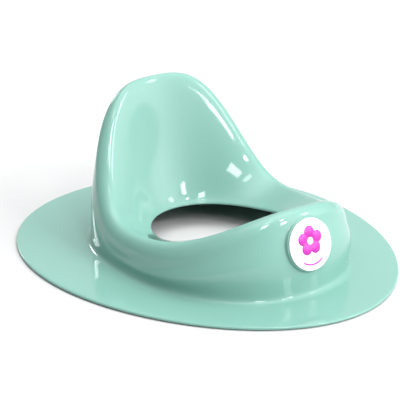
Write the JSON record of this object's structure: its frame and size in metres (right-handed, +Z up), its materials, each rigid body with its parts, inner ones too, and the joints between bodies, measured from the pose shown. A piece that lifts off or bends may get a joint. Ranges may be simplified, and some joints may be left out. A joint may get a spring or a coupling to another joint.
{
  "type": "toddler toilet training seat",
  "caption": "Moulded toddler training seat with a wide flange, a high backrest, a splash guard, a round badge and soft strips underneath.",
  "frame": {"origin": "on the floor under the middle of the flange, at the bottom of the anti-slip strips", "axes": "+Z up, -Y to the splash guard and badge, +Y to the backrest, +X to the side; X = 0 is the plane of symmetry"},
  "size_m": [0.3152, 0.379, 0.1398],
  "materials": {
    "seat_shell": "high-gloss moulded polypropylene, mint green",
    "badge_disc": "glossy white plastic disc",
    "badge_adhesive": "soft double-sided foam tape",
    "badge_print": "glossy magenta ink",
    "anti_slip_strip": "matt thermoplastic rubber, pale grey"
  },
  "bodies": {
    "root": {"seat_shell": "seat_shell", "badge_disc": "badge_disc", "badge_adhesive": "badge_adhesive", "badge_print": "badge_print", "anti_slip_strip_front_left": "anti_slip_strip", "anti_slip_strip_front_right": "anti_slip_strip", "anti_slip_strip_rear_left": "anti_slip_strip", "anti_slip_strip_rear_right": "anti_slip_strip"}
  },
  "joints": []
}
